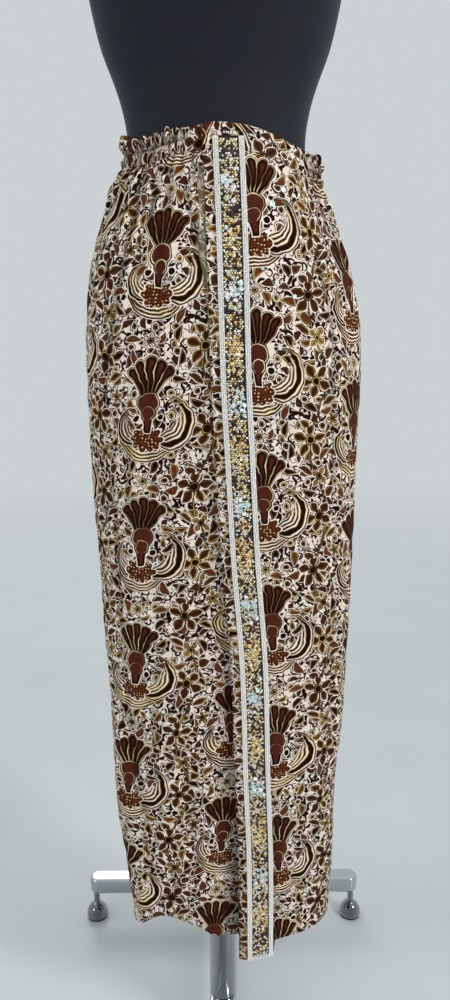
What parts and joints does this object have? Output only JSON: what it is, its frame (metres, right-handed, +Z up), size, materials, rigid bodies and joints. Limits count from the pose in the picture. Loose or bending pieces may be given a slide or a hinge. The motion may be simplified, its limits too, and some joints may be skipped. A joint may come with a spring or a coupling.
{
  "type": "batik wrap skirt on a limbless dress form with stand",
  "caption": "Ankle-length printed wrap skirt with a gathered waist and a beaded edge band, worn by a limbless dress form on a metal stand with levelling glides.",
  "frame": {"origin": "on the floor, midway between the four glides and under the pole", "axes": "+Z up, -Y the front of the skirt, +X to the right of someone facing it"},
  "size_m": [0.478, 0.526, 1.6723],
  "materials": {
    "batik_cloth": "printed cotton, dark brown, maroon and gold on cream",
    "band_tape": "woven tape",
    "white_beads": "white seed beads",
    "gold_beads": "gold and copper seed beads with pale sequins",
    "form_cover": "matte black stretch cover",
    "chrome": "bright chromed steel, lightly worn",
    "glide_rubber": "black rubber"
  },
  "bodies": {
    "root": {"under_panel": "batik_cloth", "wrap_panel": "batik_cloth", "back_panel": "batik_cloth", "waistband_under": "batik_cloth", "waistband_front": "batik_cloth", "waistband_back": "batik_cloth", "band_tape": "band_tape", "band_edging_left": "white_beads", "band_edging_right": "white_beads", "band_bead_field": "gold_beads", "form_torso": "form_cover", "neck_cap": "form_cover", "crossbar_front": "chrome", "crossbar_rear": "chrome", "spine": "chrome", "pole": "chrome", "pole_flange": "chrome", "glide_front_left": "chrome", "glide_front_right": "chrome", "glide_rear_left": "chrome", "glide_rear_right": "chrome", "glide_pad_front_left": "glide_rubber", "glide_pad_front_right": "glide_rubber", "glide_pad_rear_left": "glide_rubber", "glide_pad_rear_right": "glide_rubber"}
  },
  "joints": []
}
